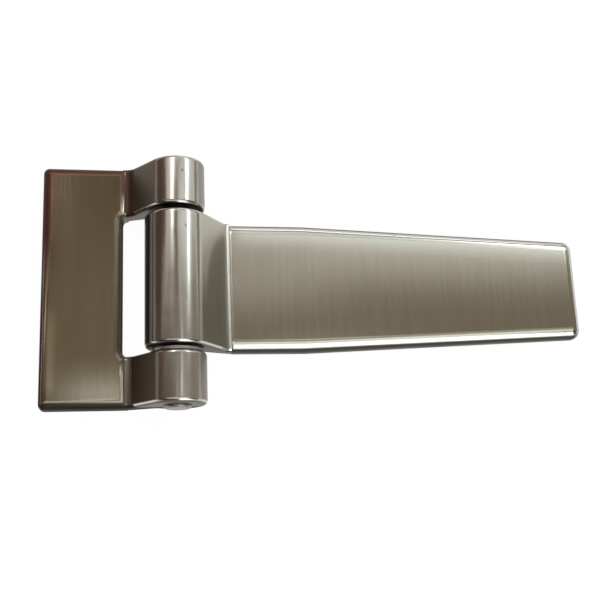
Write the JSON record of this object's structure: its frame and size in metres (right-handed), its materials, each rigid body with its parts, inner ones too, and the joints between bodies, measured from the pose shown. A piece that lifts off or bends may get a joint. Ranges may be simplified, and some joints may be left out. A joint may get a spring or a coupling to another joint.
{
  "type": "weld-on strap hinge",
  "caption": "Cast stainless weld-on strap hinge: a short leaf carries an ear at each end, and a long tapered strap turns between them on a fixed pin.",
  "frame": {"origin": "centre of the fixed leaf's weld face", "axes": "+X along the strap, +Y along the hinge pin, +Z out of the weld faces towards the knuckles"},
  "size_m": [0.2066, 0.0924, 0.024],
  "materials": {
    "leaf_steel": "satin-brushed plate, polished ears and webs",
    "strap_steel": "satin-brushed strap, polished barrel and neck",
    "pin_steel": "turned, dull ends",
    "washer_steel": "flat, dull"
  },
  "bodies": {
    "fixed": {"fixed_leaf": "leaf_steel", "hinge_pin": "pin_steel", "thrust_washer": "washer_steel"},
    "strap": {"strap_leaf": "strap_steel"}
  },
  "joints": [
    {"name": "strap_swing", "type": "hinge", "parent": "fixed", "child": "strap", "pos_m": [0.03375, 0, 0.0125], "axis": [0, -1, 0], "range_deg": [0, 180]}
  ]
}
